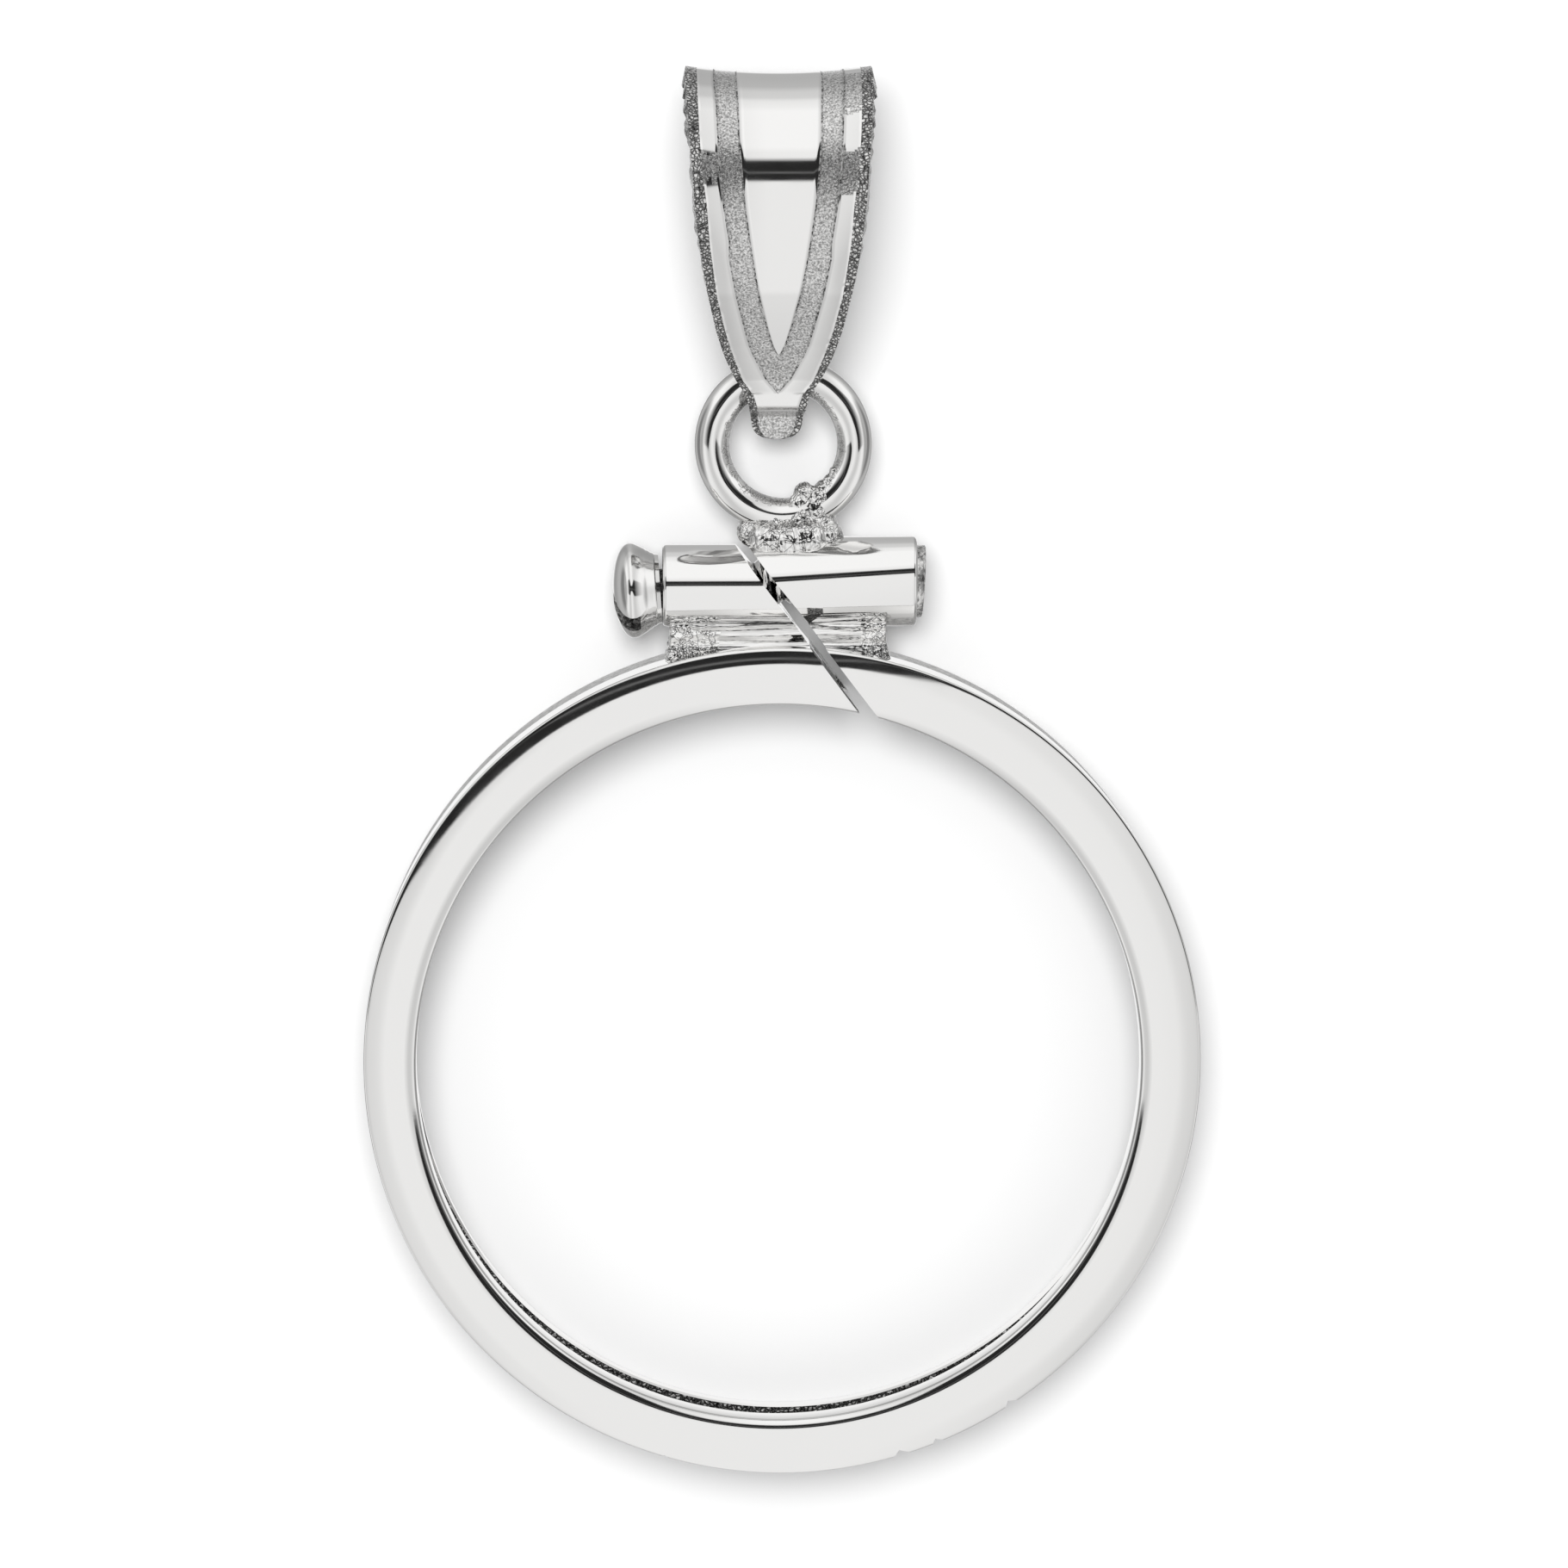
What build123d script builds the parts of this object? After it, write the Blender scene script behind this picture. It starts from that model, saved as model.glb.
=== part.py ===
from build123d import *
import math
import os

os.makedirs("parts", exist_ok=True)

# A screw-top coin bezel: a grooved ring that grips a small coin by its rim, closed at the top by a
# screw in a split tube, and hung from a chain by a jump ring and a folded leaf bail.
# Lengths are in millimetres and angles in degrees. The origin is the centre of the coin's place,
# halfway through its thickness. +Z is the side that faces the viewer, +Y points to the pendant's
# top, and the bezel lies on its back.

# The coin and how the ring holds it
coin_diameter = 16.5
coin_thickness = 1.19
coin_radial_play = 0.03
coin_axial_play = 0.06
lip_overlap = 0.48
outer_wall = 0.72
front_lip = 0.70
back_lip = 0.45
front_edge_round = 0.20
back_edge_round = 0.12
lip_edge_round = 0.05

# The split tube soldered on top of the ring
tube_lift = 0.42
tube_left_radius = 0.88
tube_right_radius = 0.97
tube_left_end = -2.55
tube_right_end = 2.89
tube_edge_round = 0.08
end_rim_radius = 0.775
end_rim_length = 0.16
web_depth = 1.30
web_right_end = 2.36
web_waist = 0.12
web_root = 0.54

# The slanting slit that lets the ring spring open
slit_tilt = 37.0
slit_at_tube_axis = -0.243
slit_top_width = 0.20
slit_bottom_width = 0.28
slit_depth = 1.98

# The clamp screw
thread_radius = 0.50
thread_depth = 0.08
thread_pitch = 0.25
thread_clearance = 0.03
shank_length = 5.20
shank_neck = 0.30
screw_tilt = 3.5
head_gap = 0.08
head_radius = 1.025
head_small_radius = 0.75
head_cone_length = 0.50
head_rim_length = 0.08
head_dome_height = 0.41
slot_width = 0.40
slot_depth = 0.56
slot_turn = -49.0

# The jump ring soldered to the right half of the tube, and the direction in which the seam of its
# round face is turned, clear of the solder
jump_ring_diameter = 3.80
jump_wire_diameter = 0.75
jump_ring_x = 0.04
jump_ring_lift = 0.18
jump_ring_seam = 290.0

# The bail: a leaf of metal strip folded over, its tails closed below the jump ring's wire
strip_thickness = 0.38
bail_x = -0.10
bail_height = 6.65
bail_top_width = 3.94
bail_waist_width = 1.24
bail_dish = 0.14
bail_belly_depth = 4.50
fold_radius = 2.00
belly_radius = 3.60
trim_margin = 0.40
leaf_slope = 17.0
bail_waist_drop = 0.63
foot_flare = 0.45
eye_radius = 0.75
eye_drop = 0.08
wrap_angle = 34.0
tab_thickness = 0.72
tab_length = 0.56
tab_corner_round = 0.30
tab_shoulder = 0.23
tail_inset = 0.04

# The leaf's outline between its waist and its top: half its width at heights above the hinge
leaf_outline = [
    {"height": 0.42, "half_width": 0.89},
    {"height": 1.16, "half_width": 1.17},
    {"height": 2.26, "half_width": 1.43},
    {"height": 3.66, "half_width": 1.64},
    {"height": 4.87, "half_width": 1.80},
]
outline_top_flare = 0.07

# The lump of solder under the jump ring, as a row of overlapping beads. The columns are the place
# to the right of the ring's centre, the height above the tube's top and the bead's radius, each as
# a share of the jump ring's radius.
solder_beads = [
    {"along": -0.33, "up": 0.06, "size": 0.17},
    {"along": -0.06, "up": 0.05, "size": 0.25},
    {"along": 0.24, "up": 0.04, "size": 0.26},
    {"along": 0.50, "up": 0.04, "size": 0.20},
    {"along": 0.36, "up": 0.40, "size": 0.24},
]

# Places that follow from the sizes above
channel_radius = coin_diameter / 2 + coin_radial_play
inner_radius = channel_radius - lip_overlap
outer_radius = channel_radius + outer_wall
channel_half = (coin_thickness + coin_axial_play) / 2
face_z = channel_half + front_lip
back_z = -channel_half - back_lip
middle_z = (face_z + back_z) / 2
tube_y = outer_radius + tube_lift + tube_left_radius
tube_top_y = tube_y + tube_right_radius
jump_ring_radius = jump_ring_diameter / 2
jump_wire_radius = jump_wire_diameter / 2
jump_ring_y = tube_top_y - (tube_right_radius - tube_left_radius) + jump_ring_lift + jump_ring_radius
hinge_y = jump_ring_y + jump_ring_radius - jump_wire_radius
bore_radius = thread_radius + thread_clearance


def prism(points, depth):
    """A straight block over a closed outline in the XY plane, centred on the ring's middle."""
    outline = make_face(Polyline(*points, close=True))
    return Pos(0, 0, middle_z) * extrude(outline, depth / 2, both=True)


def bezel_ring():
    """The grooved ring: a front lip, the coin's channel and a back lip, turned as one section."""
    section = make_face(Polyline(
        (inner_radius, back_z), (outer_radius, back_z), (outer_radius, face_z),
        (inner_radius, face_z), (inner_radius, channel_half), (channel_radius, channel_half),
        (channel_radius, -channel_half), (inner_radius, -channel_half), close=True))
    rounded = [
        ((outer_radius, face_z), front_edge_round),
        ((outer_radius, back_z), back_edge_round),
        ((inner_radius, face_z), lip_edge_round),
        ((inner_radius, back_z), lip_edge_round),
    ]
    for (x, y), radius in rounded:
        corner = section.vertices().sort_by_distance((x, y, 0))[0]
        section = fillet(corner, radius)
    return revolve(Plane.XZ * section, Axis.Z)


def slit_walls():
    """The four corners of the slit: top left, top right, bottom right, bottom left."""
    slope = math.tan(math.radians(slit_tilt))
    top_y = jump_ring_y
    bottom_y = outer_radius - slit_depth
    corners = []
    for y, width, side in [(top_y, slit_top_width, -1), (top_y, slit_top_width, 1),
                           (bottom_y, slit_bottom_width, 1), (bottom_y, slit_bottom_width, -1)]:
        middle = slit_at_tube_axis + (tube_y - y) * slope
        half = width / 2 / math.cos(math.radians(slit_tilt))
        corners.append((middle + side * half, y))
    return corners


def beside_slit(side):
    """A block over everything on one side of the slit, from the far wall of the slit outwards."""
    top_left, top_right, bottom_right, bottom_left = slit_walls()
    reach = side * outer_radius
    top, bottom = (top_left, bottom_left) if side > 0 else (top_right, bottom_right)
    corners = [top, bottom, (bottom[0] + reach, bottom[1]), (top[0] + reach, top[1])]
    return prism(corners, outer_radius)


def tube_piece(start, end, radius, rounded_end):
    """A solid round bar along X on the tube's axis, with one end's edge rounded."""
    bar = Cylinder(radius, end - start, rotation=(0, 90, 0))
    bar = Pos((start + end) / 2, tube_y, middle_z) * bar
    rim = bar.edges().filter_by(GeomType.CIRCLE).sort_by_distance((rounded_end, tube_y, middle_z))[0]
    return fillet(rim, tube_edge_round)


def web():
    """The solder that fills the space between the ring and the tube, with hollow ends."""
    root_y = outer_radius - web_root
    waist_y = outer_radius + tube_lift / 2
    left = tube_left_end + tube_edge_round / 2
    ends = [
        Line((left, root_y), (web_right_end, root_y)),
        ThreePointArc((web_right_end, root_y), (web_right_end - web_waist, waist_y),
                      (web_right_end, tube_y)),
        Line((web_right_end, tube_y), (left, tube_y)),
        ThreePointArc((left, tube_y), (left + web_waist, waist_y), (left, root_y)),
    ]
    return Pos(0, 0, middle_z) * extrude(make_face(ends), web_depth / 2, both=True)


def solder_lump():
    """The lump of solder that joins the jump ring to the tube, as overlapping beads."""
    lump = None
    for bead in solder_beads:
        place = Pos(jump_ring_x + bead["along"] * jump_ring_radius,
                    tube_top_y + bead["up"] * jump_ring_radius, middle_z)
        ball = place * Sphere(bead["size"] * jump_ring_radius, rotation=(0, 90, 0))
        lump = ball if lump is None else lump + ball
    return lump


def screw_line():
    """The screw's own axes: its origin is where the head seats, its X runs to the tip."""
    tilt = math.radians(screw_tilt)
    along = (slit_at_tube_axis - tube_left_end) / math.cos(tilt) + head_gap
    seat = (slit_at_tube_axis - along * math.cos(tilt), tube_y - along * math.sin(tilt), middle_z)
    return Plane(origin=seat, x_dir=(math.cos(tilt), math.sin(tilt), 0), z_dir=(0, 0, 1))


def bezel_frame():
    """Ring, web, both halves of the tube, solder and jump ring: soldered into one solid."""
    slit = prism(slit_walls(), outer_radius)
    right_of_slit = beside_slit(1)
    left_of_slit = beside_slit(-1)
    body = bezel_ring() + web() - slit
    left_tube = tube_piece(tube_left_end, -tube_left_end, tube_left_radius, tube_left_end)
    right_tube = tube_piece(tube_left_end, tube_right_end, tube_right_radius, tube_right_end)
    end_rim = Pos(tube_right_end, tube_y, middle_z) * Cylinder(
        end_rim_radius, 2 * end_rim_length, rotation=(0, 90, 0))
    jump_ring = Pos(jump_ring_x, jump_ring_y, middle_z) * Torus(
        jump_ring_radius - jump_wire_radius, jump_wire_radius, rotation=(0, 0, jump_ring_seam))
    bore = screw_line() * Cylinder(bore_radius, 2 * outer_radius, rotation=(0, 90, 0))
    body += left_tube - right_of_slit
    body += right_tube + end_rim + solder_lump() - left_of_slit
    return body - bore + jump_ring


def clamp_screw():
    """Domed slotted head with a cone below it, and a threaded shank drawn as plain rings."""
    rim_x = -head_cone_length
    shoulder_x = rim_x - head_rim_length
    top_x = shoulder_x - head_dome_height
    dome_radius = (head_radius ** 2 + head_dome_height ** 2) / (2 * head_dome_height)
    half_angle = math.asin(head_radius / dome_radius) / 2
    middle = (top_x + dome_radius * (1 - math.cos(half_angle)), dome_radius * math.sin(half_angle))
    root_radius = thread_radius - thread_depth
    turns = int((shank_length - shank_neck - thread_pitch) / thread_pitch)
    side = [(shoulder_x, head_radius), (rim_x, head_radius), (0, head_small_radius), (0, root_radius),
            (shank_neck, root_radius)]
    for turn in range(turns):
        start = shank_neck + turn * thread_pitch
        side += [(start + thread_pitch / 2, thread_radius), (start + thread_pitch, root_radius)]
    side += [(shank_length - thread_depth, root_radius), (shank_length, root_radius - thread_depth),
             (shank_length, 0), (top_x, 0)]
    outline = [ThreePointArc((top_x, 0), middle, (shoulder_x, head_radius)), Polyline(*side)]
    screw = revolve(make_face(outline), Axis.X)
    slot_middle = Rot(slot_turn, 0, 0) * Pos(top_x, 0, 0)
    slot = slot_middle * Box(2 * slot_depth, 4 * head_radius, slot_width)
    return screw_line() * (screw - slot)


def bail_half_width(height):
    """Half the leaf's width at a height above the hinge, straight between the outline's points."""
    points = [(row["height"], row["half_width"]) for row in leaf_outline]
    points += [(bail_height, bail_top_width / 2)]
    for low, high in zip(points, points[1:]):
        if height <= high[0]:
            break
    return low[1] + (high[1] - low[1]) * (height - low[0]) / (high[0] - low[0])


# The strip's middle line, seen from the side, with height along Y and depth along Z from the hinge:
# a small arc at the fold, a large one at the belly and a straight run down to the eye
belly_middle = (bail_belly_depth - strip_thickness) / 2
fold_height = bail_height - strip_thickness / 2 - fold_radius
belly_height = fold_height - math.sqrt(
    (belly_radius - fold_radius) ** 2 - (belly_radius - belly_middle) ** 2)
fold_angle = math.atan2(belly_radius - belly_middle, fold_height - belly_height)

# How far the leaf is tipped up at the hinge so that its back lies on what the ring lies on
belly_dish = bail_dish * (2 * bail_half_width(belly_height) / bail_top_width) ** 2
rest_reach = belly_radius + strip_thickness / 2 + belly_dish - (middle_z - back_z)
rest_tilt = math.degrees(
    math.asin(rest_reach / math.hypot(belly_height, belly_radius - belly_middle))
    - math.atan2(belly_radius - belly_middle, belly_height))


def bail_leaf():
    """The folded strip itself: a slightly dished section swept round the side view's line."""
    slope = math.radians(leaf_slope)
    fold_end = (fold_height + fold_radius * math.cos(fold_angle), fold_radius * math.sin(fold_angle))
    belly_end = (belly_height - belly_radius * math.sin(slope),
                 belly_middle - belly_radius * (1 - math.cos(slope)))
    belly_share = (fold_angle + math.pi / 2 + slope) / 2
    belly_way = (belly_height + belly_radius * math.cos(belly_share),
                 belly_middle - belly_radius * (1 - math.sin(belly_share)))
    foot_height = -eye_radius / 2
    foot = (foot_height, belly_end[1] - (belly_end[0] - foot_height) * math.tan(slope))

    def at(point, side):
        return (0, point[0], side * point[1])

    line = Wire([
        Line(at(foot, 1), at(belly_end, 1)),
        ThreePointArc(at(belly_end, 1), at(belly_way, 1), at(fold_end, 1)),
        ThreePointArc(at(fold_end, 1), (0, fold_height + fold_radius, 0), at(fold_end, -1)),
        ThreePointArc(at(fold_end, -1), at(belly_way, -1), at(belly_end, -1)),
        Line(at(belly_end, -1), at(foot, -1)),
    ])
    half = bail_top_width / 2 + trim_margin
    dish = bail_dish * (2 * half / bail_top_width) ** 2
    skin = strip_thickness / 2
    section = make_face([
        ThreePointArc((-half, -dish - skin), (0, -skin), (half, -dish - skin)),
        Line((half, -dish - skin), (half, -dish + skin)),
        ThreePointArc((half, -dish + skin), (0, skin), (-half, -dish + skin)),
        Line((-half, -dish + skin), (-half, -dish - skin)),
    ])
    start = Plane(origin=line @ 0, x_dir=(1, 0, 0), z_dir=line % 0)
    return sweep(start * section, line), foot[1] + skin


def bail_tails(leaf_depth):
    """The closed tails: they hug the wire, meet below it and end in a short tab."""
    tab_end = -eye_radius - eye_drop - tab_length
    outer = leaf_depth - tail_inset
    half_tab = tab_thickness / 2
    wrap = eye_radius + strip_thickness
    bend = (-wrap * math.sin(math.radians(wrap_angle)), wrap * math.cos(math.radians(wrap_angle)))
    shoulder = -eye_radius - tab_shoulder
    right = [(tab_end, half_tab), (shoulder, half_tab), bend, (-eye_radius / 4, outer),
             (strip_thickness / 2, outer)]
    corners = right + [(height, -depth) for height, depth in reversed(right)]
    side_view = make_face(Polyline(*[(0, height, depth) for height, depth in corners], close=True))
    tails = extrude(side_view, bail_waist_width, dir=(1, 0, 0), both=True)
    wire_hole = Cylinder(eye_radius, 3 * bail_waist_width, rotation=(0, 90, 0))
    gap = 2 * (leaf_depth - strip_thickness)
    way_up = Pos(0, strip_thickness, 0) * Box(3 * bail_waist_width, 2 * strip_thickness, gap)
    return tails - wire_hole - Pos(0, -eye_drop, 0) * wire_hole - way_up


def bail():
    """The leaf and its tails, cut to the leaf's outline and hung on the jump ring's wire."""
    leaf, leaf_depth = bail_leaf()
    tab_end = -eye_radius - eye_drop - tab_length
    top = bail_height + trim_margin
    half_top = bail_top_width / 2
    tab_half = bail_waist_width / 2
    right = [(tab_half, -bail_waist_drop)]
    right += [(row["half_width"], row["height"]) for row in leaf_outline]
    right += [(half_top, bail_height)]
    left = [(-width, height) for width, height in reversed(right)]
    tab_foot = tab_half - tab_corner_round / 2
    outline = make_face([
        Spline(*right, tangents=[(foot_flare, 1), (outline_top_flare, 1)]),
        Line((half_top, bail_height), (half_top, top)),
        Line((half_top, top), (-half_top, top)),
        Line((-half_top, top), (-half_top, bail_height)),
        Spline(*left, tangents=[(outline_top_flare, -1), (foot_flare, -1)]),
        Line((-tab_half, -bail_waist_drop), (-tab_foot, tab_end)),
        Line((-tab_foot, tab_end), (tab_foot, tab_end)),
        Line((tab_foot, tab_end), (tab_half, -bail_waist_drop)),
    ])
    foot = outline.vertices().sort_by(Axis.Y)[:2]
    outline = fillet(foot, tab_corner_round)
    cutter = extrude(outline, bail_belly_depth, both=True)
    piece = (leaf + bail_tails(leaf_depth)) & cutter
    return Pos(bail_x, hinge_y, middle_z) * Rot(rest_tilt, 0, 0) * piece


nodes = {
    "bezel_frame": bezel_frame(),
    "clamp_screw": clamp_screw(),
    "bail": bail(),
}
for name, solid in nodes.items():
    export_step(solid, f"parts/{name}.step")
    box = solid.bounding_box()
    print(name, "volume", round(solid.volume, 3), "solids", len(solid.solids()),
          "low", [round(v, 3) for v in box.min], "high", [round(v, 3) for v in box.max])
print("hinge at y", round(hinge_y, 3), "z", round(middle_z, 3), "bail tipped up", round(rest_tilt, 2))
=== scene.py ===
# %% [markdown]
# # A screw-top coin bezel in white metal
# The object is a small pendant: a grooved ring that grips a coin, a split tube with a clamp screw,
# a soldered jump ring and a folded leaf bail. The engineering model is loaded first and stays
# fixed. Everything made here is set around it, in metres, in its frame: +Z faces the viewer, +Y
# points to the pendant's top, and the origin is the centre of the coin's place.

# %% Load the fixed model
import math

import bpy
from mathutils import Matrix, Vector, noise


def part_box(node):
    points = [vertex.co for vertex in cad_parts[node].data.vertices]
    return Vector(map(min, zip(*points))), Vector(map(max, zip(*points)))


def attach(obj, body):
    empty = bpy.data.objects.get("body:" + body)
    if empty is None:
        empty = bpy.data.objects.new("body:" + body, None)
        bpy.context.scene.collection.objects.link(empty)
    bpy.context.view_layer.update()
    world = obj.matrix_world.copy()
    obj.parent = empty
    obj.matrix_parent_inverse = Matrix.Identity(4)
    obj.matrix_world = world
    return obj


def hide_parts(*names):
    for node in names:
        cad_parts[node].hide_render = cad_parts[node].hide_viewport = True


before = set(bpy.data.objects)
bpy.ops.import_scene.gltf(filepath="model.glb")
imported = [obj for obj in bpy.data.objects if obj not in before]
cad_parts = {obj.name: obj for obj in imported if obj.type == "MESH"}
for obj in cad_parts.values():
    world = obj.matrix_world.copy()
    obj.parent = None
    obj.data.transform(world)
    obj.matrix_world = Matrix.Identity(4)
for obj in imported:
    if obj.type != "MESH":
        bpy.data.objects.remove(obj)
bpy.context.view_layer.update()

# %% [markdown]
# Jewellery is small, so every size below is in millimetres and is multiplied by MM where it enters
# a mesh. The heights and radii that the model fixes are read from its box, and the rest are the
# goldsmith's own sizes, written once.

# %% Sizes that the pieces share
MM = 0.001
frame_low, frame_high = (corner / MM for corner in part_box("bezel_frame"))

outer_radius = frame_high.x
face_z = frame_high.z
back_z = frame_low.z
middle_z = (face_z + back_z) / 2
inner_radius = 7.80
channel_radius = 8.28
front_lip_foot = 0.625
back_lip_top = -0.625

tube_y = 10.30
tube_left_radius = 0.88
tube_right_radius = 0.97
tube_left_end = -2.55
tube_right_end = 2.89
bore_radius = 0.53
left_half_drop = 0.075

slit_tilt = math.radians(37.0)
slit_at_tube_axis = -0.243
slit_top_width = 0.20
slit_bottom_width = 0.28

jump_ring_radius = 1.90
wire_radius = 0.375
jump_ring_x = 0.04
jump_ring_y = frame_high.y - jump_ring_radius
hinge_y = jump_ring_y + jump_ring_radius - wire_radius

print("ring", outer_radius, "face", face_z, "back", back_z, "hinge y", round(hinge_y, 3))

# %% [markdown]
# ## The hand tools
# Blender's operators act on what is selected. These helpers select one piece, open and close edit
# mode, and choose faces by a test, so that each later cell reads as the steps of a hand at work.

# %% Select, open and choose
same_place = 0.0005


def take(piece):
    """Selects this piece alone and makes it the active one."""
    if bpy.context.object and bpy.context.object.mode != "OBJECT":
        bpy.ops.object.mode_set(mode="OBJECT")
    bpy.ops.object.select_all(action="DESELECT")
    piece.select_set(True)
    bpy.context.view_layer.objects.active = piece


def open_mesh(piece, kind="VERT"):
    """Edit mode with everything selected."""
    take(piece)
    bpy.ops.object.mode_set(mode="EDIT")
    bpy.ops.mesh.select_mode(type=kind)
    bpy.ops.mesh.select_all(action="SELECT")


def close_mesh():
    """Back to object mode."""
    bpy.ops.object.mode_set(mode="OBJECT")


def tidy_mesh(piece):
    """Merges doubled points and turns every face outwards."""
    open_mesh(piece)
    bpy.ops.mesh.remove_doubles(threshold=same_place * MM)
    bpy.ops.mesh.select_all(action="SELECT")
    bpy.ops.mesh.normals_make_consistent(inside=False)
    close_mesh()


def smooth(piece, angle):
    """Smooth shading, with an edge kept where two faces meet more sharply than the angle."""
    take(piece)
    bpy.ops.object.shade_smooth_by_angle(angle=math.radians(angle))


def clamp(value):
    """The value, kept between 0 and 1."""
    return min(1.0, max(0.0, value))


def report(piece):
    """Prints how large the piece is and how many triangles it takes."""
    corners = [Vector(corner) / MM for corner in piece.bound_box]
    size = [max(c[i] for c in corners) - min(c[i] for c in corners) for i in range(3)]
    triangles = sum(len(face.vertices) - 2 for face in piece.data.polygons)
    print(piece.name, "size in mm", [round(v, 2) for v in size], "triangles", triangles)


# %% [markdown]
# ## Drawing a section and turning it
# A goldsmith turns a ring on a lathe. Here a section is drawn by pushing one point from corner to
# corner, and the spin operator carries it round the axis. A cut through finished metal is made
# with a block that a Boolean modifier takes away.

# %% Draw, spin and carve
def draw_line(name, points):
    """A line drawn by pushing one point from place to place. Points are in mm."""
    bpy.ops.object.select_all(action="DESELECT")
    bpy.ops.mesh.primitive_plane_add(size=MM, location=(0, 0, 0))
    piece = bpy.context.object
    piece.name = name
    open_mesh(piece)
    bpy.ops.mesh.merge(type="CENTER")
    bpy.ops.transform.translate(value=Vector(points[0]) * MM)
    for here, there in zip(points, points[1:]):
        step = (Vector(there) - Vector(here)) * MM
        bpy.ops.mesh.extrude_vertices_move(TRANSFORM_OT_translate={"value": step})
    close_mesh()
    return piece


def turn_section(name, points, steps, axis, centre=(0, 0, 0)):
    """A closed section, in mm, spun once round an axis."""
    piece = draw_line(name, [*points, points[0]])
    open_mesh(piece)
    bpy.ops.mesh.remove_doubles(threshold=same_place * MM)
    bpy.ops.mesh.select_all(action="SELECT")
    bpy.ops.mesh.spin(steps=steps, angle=2 * math.pi, center=Vector(centre) * MM, axis=axis,
                      use_auto_merge=True)
    close_mesh()
    tidy_mesh(piece)
    return piece


def make_block(name, corners, low_z, high_z):
    """A straight block over a closed outline of (x, y) corners, in mm."""
    piece = draw_line(name, [(x, y, low_z) for x, y in [*corners, corners[0]]])
    open_mesh(piece)
    bpy.ops.mesh.remove_doubles(threshold=same_place * MM)
    bpy.ops.mesh.select_all(action="SELECT")
    bpy.ops.mesh.edge_face_add()
    bpy.ops.mesh.extrude_region_move(TRANSFORM_OT_translate={"value": (0, 0, (high_z - low_z) * MM)})
    close_mesh()
    tidy_mesh(piece)
    return piece


def carve(piece, cutter):
    """Cuts the block out of the piece and throws the block away."""
    take(piece)
    modifier = piece.modifiers.new("carve", "BOOLEAN")
    modifier.operation = "DIFFERENCE"
    modifier.solver = "EXACT"
    modifier.object = cutter
    bpy.ops.object.modifier_apply(modifier=modifier.name)
    bpy.data.objects.remove(cutter, do_unlink=True)


def arc(centre, radius, start, end, steps):
    """Points on an arc in a section, as (across, up). Angles in degrees, from across towards up."""
    angles = [math.radians(start + (end - start) * step / steps) for step in range(steps + 1)]
    return [(centre[0] + radius * math.cos(a), centre[1] + radius * math.sin(a)) for a in angles]


def move_points(piece, place):
    """Moves each point to where the function says, given its place in mm."""
    for point in piece.data.vertices:
        point.co = Vector(place(point.co / MM)) * MM


def paint(piece, materials, choose):
    """Gives each face one of the materials. choose returns its number from the face's centre."""
    piece.data.materials.clear()
    for material in materials:
        piece.data.materials.append(material)
    for face in piece.data.polygons:
        face.material_index = choose(face.center / MM, face.normal)


def all_over(centre, normal):
    """The first material everywhere."""
    return 0


def finish_piece(piece, materials, choose=all_over, angle=35):
    """Paints the piece, smooths it up to the angle and reports on it."""
    paint(piece, materials, choose)
    smooth(piece, angle)
    report(piece)


# %% [markdown]
# ## White metal
# All the metal is one white alloy, so what differs is the finish. Each finish is a Principled
# shader, fully metallic, whose roughness and bump come from noise on Object coordinates, at the
# grain that the real surface has. A polished face needs almost no bump, since the room in it is
# what the eye reads. Solder, the satin bands and the struck edges need a coarse one.

# %% Shader helpers
METAL_WHITE = (0.93, 0.925, 0.915, 1.0)


def start_material(name, colour=METAL_WHITE):
    """A new metal, with its node tree and its shader."""
    material = bpy.data.materials.new(name)
    material.use_nodes = True
    tree = material.node_tree
    shader = tree.nodes["Principled BSDF"]
    shader.inputs["Base Color"].default_value = colour
    shader.inputs["Metallic"].default_value = 1.0
    return material, tree, shader


def add_node(tree, kind, **values):
    """A node with its settings and the values of its sockets."""
    node = tree.nodes.new(kind)
    for key, value in values.items():
        if key in node.inputs:
            node.inputs[key].default_value = value
        else:
            setattr(node, key, value)
    return node


def object_place(tree, stretch=(1, 1, 1), turn=0.0):
    """Object coordinates in millimetres, stretched and turned about Z."""
    place = add_node(tree, "ShaderNodeTexCoord")
    mapping = add_node(tree, "ShaderNodeMapping")
    mapping.inputs["Rotation"].default_value = (0, 0, turn)
    mapping.inputs["Scale"].default_value = Vector(stretch) / MM
    tree.links.new(place.outputs["Object"], mapping.inputs["Vector"])
    return mapping.outputs["Vector"]


def grain(tree, vector, size, detail=2.0, roughness=0.5):
    """Noise whose lumps are about this many mm wide."""
    node = add_node(tree, "ShaderNodeTexNoise", Scale=1 / size, Detail=detail, Roughness=roughness)
    tree.links.new(vector, node.inputs["Vector"])
    return node.outputs["Fac"]


def spread(tree, value, low, high, start=0.3, end=0.7):
    """The value, from start to end, spread out from low to high."""
    node = add_node(tree, "ShaderNodeMapRange")
    node.inputs["From Min"].default_value = start
    node.inputs["From Max"].default_value = end
    node.inputs["To Min"].default_value = low
    node.inputs["To Max"].default_value = high
    tree.links.new(value, node.inputs["Value"])
    return node.outputs["Result"]


def bump(tree, height, depth, before=None):
    """A bump of this depth in mm, on top of an earlier one."""
    node = add_node(tree, "ShaderNodeBump", Strength=1.0, Distance=depth * MM)
    tree.links.new(height, node.inputs["Height"])
    if before is not None:
        tree.links.new(before, node.inputs["Normal"])
    return node.outputs["Normal"]


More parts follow.
